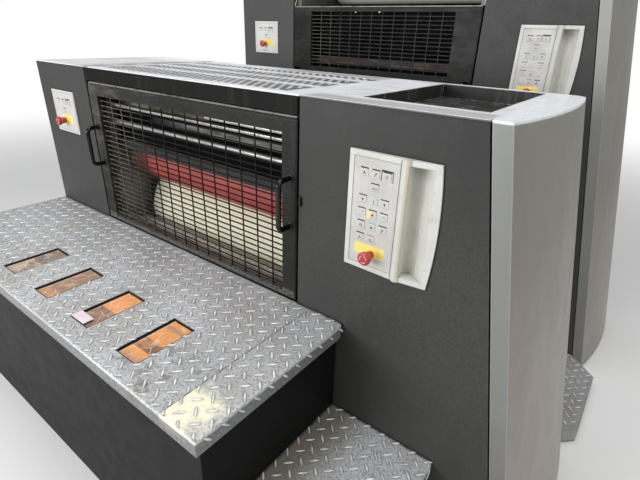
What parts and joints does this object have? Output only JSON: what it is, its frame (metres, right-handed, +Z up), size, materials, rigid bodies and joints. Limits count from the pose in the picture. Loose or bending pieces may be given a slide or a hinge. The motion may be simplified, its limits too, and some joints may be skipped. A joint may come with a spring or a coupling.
{
  "type": "offset printing press",
  "caption": "Sheet-fed offset press section: a low unit with mesh guard, control panels and tread-plate walkway, with a tall printing unit behind it.",
  "frame": {"origin": "on the floor, under the middle of the low unit's bed", "axes": "+X across the press to the operator's side, +Y along the line to the tall unit, +Z up"},
  "size_m": [2.2194, 2.32, 2.05],
  "materials": {
    "tread_plate": "chequered plate, worn bright on the ridges",
    "plinth_black": "matt black paint",
    "slot_copper": "worn orange-brown sheet",
    "housing_charcoal": "satin charcoal paint",
    "top_grey": "light grey paint, scuffed",
    "guard_black": "semi-gloss black paint",
    "handle_black": "gloss black",
    "frame_iron": "oily machined casting",
    "red_blanket": "smooth red rubber blanket",
    "cream_jacket": "satin cream jacket",
    "plate_silver": "satin sheet",
    "bright_bar": "polished bar",
    "tray_grey": "scratched grey sheet",
    "panel_white": "moulded off-white plastic",
    "keypad_white": "smooth key foil",
    "stop_red": "glossy red plastic",
    "cover_grey": "satin metallic grey",
    "cap_grey": "worn pale grey"
  },
  "bodies": {
    "press": {"front_deck": "tread_plate", "gallery_deck": "tread_plate", "deck_frames": "plinth_black", "slot_plates": "slot_copper", "step_plates": "tread_plate", "step_frames": "plinth_black", "threshold_plates": "tread_plate", "low_left_cabinet": "housing_charcoal", "low_left_top": "top_grey", "low_left_panel": "panel_white", "low_fascia": "guard_black", "low_tread_cover": "top_grey", "low_back_wall": "guard_black", "low_side_frames": "frame_iron", "low_bed": "frame_iron", "low_chrome_bars": "bright_bar", "low_cross_beams": "frame_iron", "low_inner_shield": "plinth_black", "low_right_cabinet": "housing_charcoal", "low_right_top": "top_grey", "tool_tray": "tray_grey", "low_panel_housing": "panel_white", "low_keypad": "keypad_white", "low_end_cover": "cover_grey", "low_end_cap": "cap_grey", "tall_left_cabinet": "housing_charcoal", "tall_left_panel": "panel_white", "tall_kick_panel": "guard_black", "tall_hood": "guard_black", "tall_roof": "housing_charcoal", "tall_back_wall": "guard_black", "tall_side_frames": "frame_iron", "tall_bed": "frame_iron", "tall_cross_beams": "frame_iron", "tall_inner_shield": "plinth_black", "tall_right_cabinet": "housing_charcoal", "tall_panel_housing": "panel_white", "tall_keypad": "keypad_white", "tall_end_cover": "cover_grey", "tall_end_cap": "cap_grey"},
    "low_guard": {"low_guard_frame": "guard_black", "low_guard_mesh": "guard_black", "low_guard_handles": "handle_black"},
    "tall_guard": {"tall_guard_frame": "guard_black", "tall_guard_mesh": "guard_black", "tall_guard_handles": "handle_black"},
    "low_cream_cylinder": {"low_cream_cylinder": "cream_jacket"},
    "low_red_cylinder": {"low_red_cylinder": "red_blanket"},
    "tall_cream_cylinder": {"tall_cream_cylinder": "cream_jacket"},
    "tall_red_cylinder": {"tall_red_cylinder": "red_blanket"},
    "tall_plate_cylinder": {"tall_plate_cylinder": "plate_silver"},
    "low_left_stop": {"low_left_stop": "stop_red"},
    "low_right_stop": {"low_right_stop": "stop_red"},
    "tall_left_stop": {"tall_left_stop": "stop_red"},
    "tall_right_stop": {"tall_right_stop": "stop_red"}
  },
  "joints": [
    {"name": "low_guard_hinge", "type": "hinge", "parent": "press", "child": "low_guard", "pos_m": [0, -0.288, 1.1825], "axis": [-1, 0, 0], "range_deg": [0, 80]},
    {"name": "tall_guard_hinge", "type": "hinge", "parent": "press", "child": "tall_guard", "pos_m": [0, 0.912, 1.4995], "axis": [-1, 0, 0], "range_deg": [0, 80]},
    {"name": "low_cream_spin", "type": "hinge", "parent": "press", "child": "low_cream_cylinder", "pos_m": [0, 0.0705, 0.652], "axis": [1, 0, 0], "continuous": true},
    {"name": "low_red_spin", "type": "hinge", "parent": "press", "child": "low_red_cylinder", "pos_m": [0, -0.1025, 0.907], "axis": [1, 0, 0], "continuous": true},
    {"name": "tall_cream_spin", "type": "hinge", "parent": "press", "child": "tall_cream_cylinder", "pos_m": [0, 1.2705, 0.945], "axis": [1, 0, 0], "continuous": true},
    {"name": "tall_red_spin", "type": "hinge", "parent": "press", "child": "tall_red_cylinder", "pos_m": [0, 1.0975, 1.2], "axis": [1, 0, 0], "continuous": true},
    {"name": "tall_plate_spin", "type": "hinge", "parent": "press", "child": "tall_plate_cylinder", "pos_m": [0, 1.2975, 1.632], "axis": [1, 0, 0], "continuous": true},
    {"name": "low_left_stop_press", "type": "slide", "parent": "press", "child": "low_left_stop", "axis": [0, 1, 0], "range_m": [0, 0.005]},
    {"name": "low_right_stop_press", "type": "slide", "parent": "press", "child": "low_right_stop", "axis": [0, 1, 0], "range_m": [0, 0.005]},
    {"name": "tall_left_stop_press", "type": "slide", "parent": "press", "child": "tall_left_stop", "axis": [0, 1, 0], "range_m": [0, 0.005]},
    {"name": "tall_right_stop_press", "type": "slide", "parent": "press", "child": "tall_right_stop", "axis": [0, 1, 0], "range_m": [0, 0.005]}
  ],
  "couplings": [
    {"joint": "low_red_spin", "follows": "low_cream_spin", "ratio": -2},
    {"joint": "tall_red_spin", "follows": "tall_cream_spin", "ratio": -2}
  ]
}
